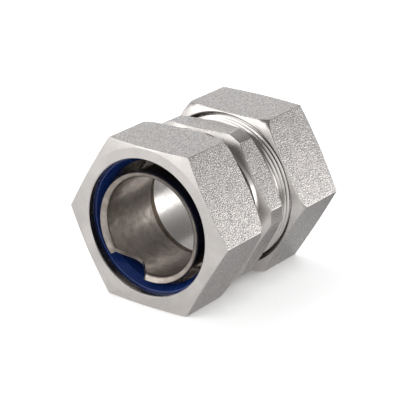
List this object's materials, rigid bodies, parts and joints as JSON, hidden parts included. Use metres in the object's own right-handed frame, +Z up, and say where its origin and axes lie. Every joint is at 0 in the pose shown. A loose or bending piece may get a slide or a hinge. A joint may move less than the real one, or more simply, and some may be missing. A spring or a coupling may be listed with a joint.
{
  "type": "pipe to hose coupling",
  "caption": "Straight stainless compression coupling that joins a jacketed metal hose to a rigid pipe with two hexagon nuts on a threaded hexagon body.",
  "frame": {"origin": "middle of the coupling on its axis, at the centre of its bounding box", "axes": "+Y along the axis from the hose end to the pipe end, +Z up with the nuts lying on their lower flats, +X to the right seen from the hose end"},
  "size_m": [0.0496, 0.0522, 0.043],
  "materials": {
    "body_steel": "turned stainless steel, satin",
    "nut_steel": "stainless steel, fine turned faces and lightly tumbled flats",
    "blue_nylon": "deep blue moulded nylon, semi-gloss",
    "sleeve_steel": "rolled stainless sheet, satin, slightly warm",
    "washer_steel": "stainless washer, satin",
    "blue_seal": "deep blue elastomer, matt"
  },
  "bodies": {
    "body": {"body": "body_steel", "ferrule": "sleeve_steel", "pipe_seal_ring": "blue_seal"},
    "hose_seal": {"hose_seal_ring": "blue_nylon"},
    "hose_nut": {"hose_nut": "nut_steel"},
    "slip_washer": {"slip_washer": "washer_steel"},
    "pipe_nut": {"pipe_nut": "nut_steel"}
  },
  "joints": [
    {"name": "hose_seal_slide", "type": "slide", "parent": "body", "child": "hose_seal", "axis": [0, -1, 0], "range_m": [0, 0.00486]},
    {"name": "hose_nut_turn", "type": "hinge", "parent": "hose_seal", "child": "hose_nut", "pos_m": [0, -0.018, 0], "axis": [0, -1, 0], "range_deg": [0, 1165]},
    {"name": "slip_washer_slide", "type": "slide", "parent": "body", "child": "slip_washer", "axis": [0, 1, 0], "range_m": [0, 0.00486]},
    {"name": "pipe_nut_turn", "type": "hinge", "parent": "slip_washer", "child": "pipe_nut", "pos_m": [0, 0.018, 0], "axis": [0, 1, 0], "range_deg": [0, 1165]}
  ],
  "couplings": [
    {"joint": "hose_seal_slide", "follows": "hose_nut_turn", "m_per_rad": 0.00023873},
    {"joint": "slip_washer_slide", "follows": "pipe_nut_turn", "m_per_rad": 0.00023873}
  ]
}
